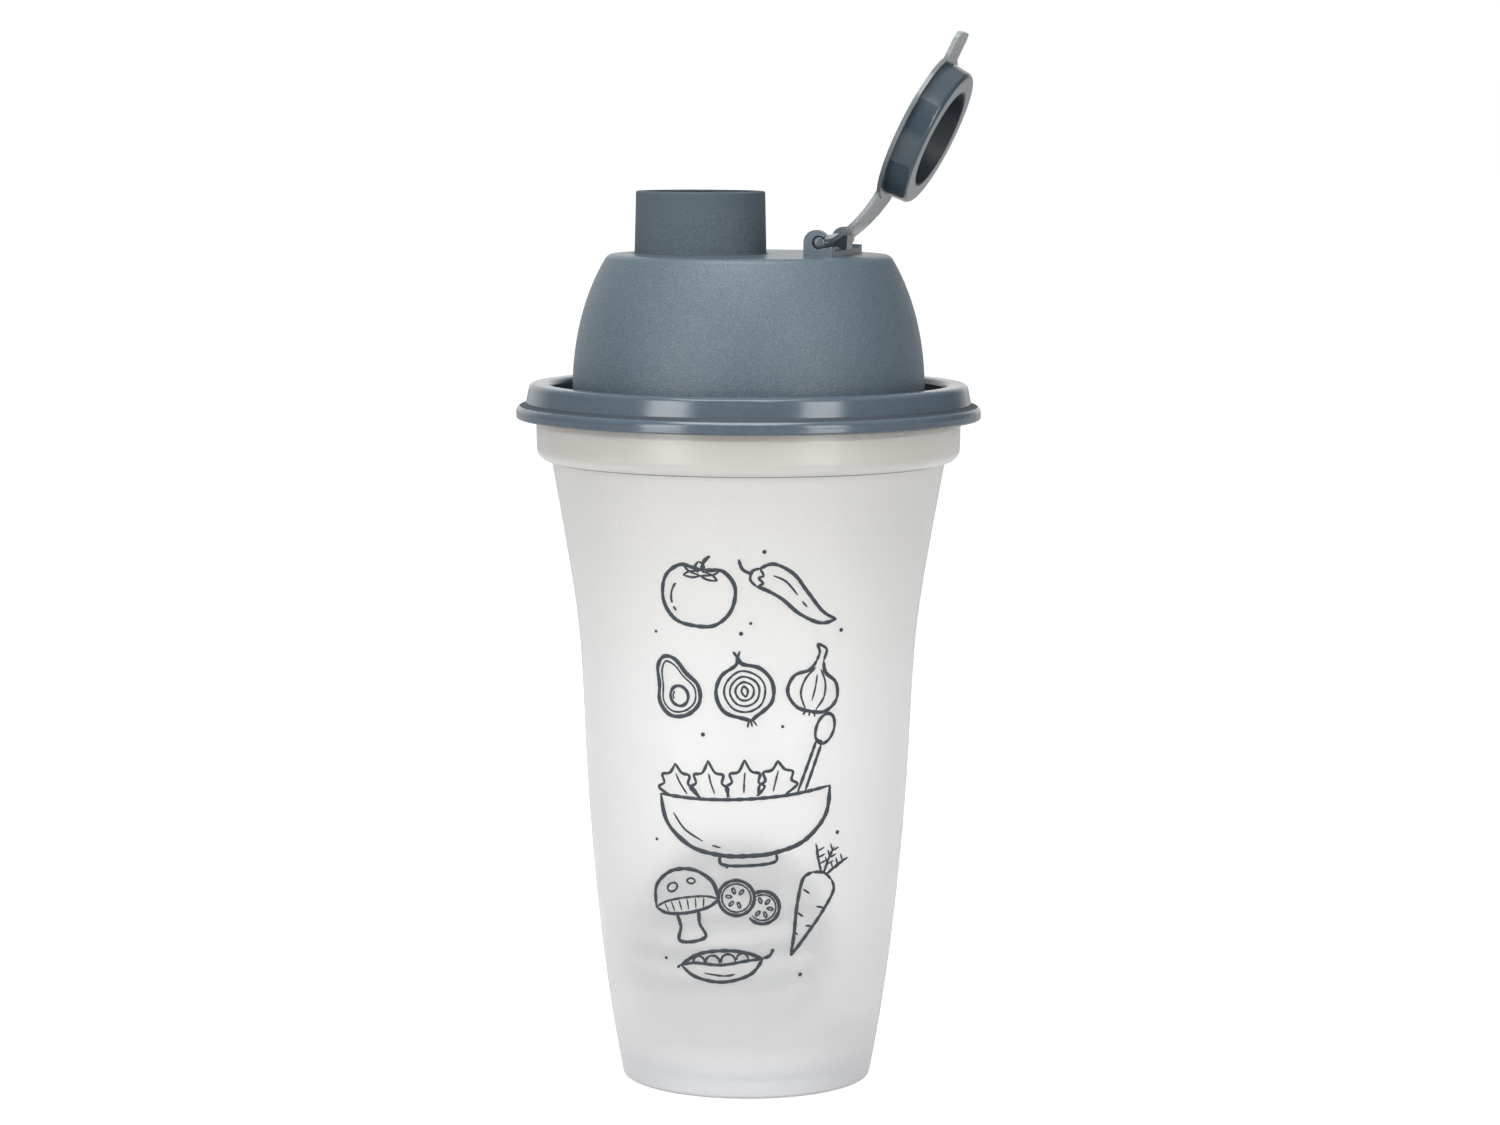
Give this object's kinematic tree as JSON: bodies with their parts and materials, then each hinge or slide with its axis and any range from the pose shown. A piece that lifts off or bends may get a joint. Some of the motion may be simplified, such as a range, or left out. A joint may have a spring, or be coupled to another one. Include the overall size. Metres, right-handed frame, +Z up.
{
  "type": "salad dressing shaker bottle",
  "caption": "Tall flared plastic cup with a domed press-on lid, an offset pouring spout, a hinged flip cap for the spout and a loose whisk ball inside.",
  "frame": {"origin": "centre of the cup's base, at the height of the foot ring that it stands on", "axes": "+Z up along the cup's axis, +X from the spout towards the flip cap's hinge, +Y along the hinge pin"},
  "size_m": [0.1, 0.1, 0.2261],
  "materials": {
    "cup_frosted": "frosted translucent polypropylene, smooth on the collar, fine texture below it",
    "lid_slate": "slate grey polypropylene, fine matte texture on the dome, glossy on the rim",
    "cap_slate": "glossy slate grey, a little translucent where it is thin",
    "ball_slate": "semi-matte dark slate plastic"
  },
  "bodies": {
    "cup": {"cup": "cup_frosted"},
    "lid": {"lid": "lid_slate"},
    "flip_cap": {"flip_cap": "cap_slate"},
    "mixing_ball": {"mixing_ball": "ball_slate"}
  },
  "joints": [
    {"name": "lid_lift", "type": "slide", "parent": "cup", "child": "lid", "axis": [0, 0, 1], "range_m": [0, 0.06]},
    {"name": "flip_cap_hinge", "type": "hinge", "parent": "lid", "child": "flip_cap", "pos_m": [0.0187, 0, 0.1818], "axis": [0, -1, 0], "range_deg": [0, 116]},
    {"name": "mixing_ball_slide", "type": "slide", "parent": "cup", "child": "mixing_ball", "axis": [0, 0, 1], "range_m": [0, 0.125]}
  ]
}
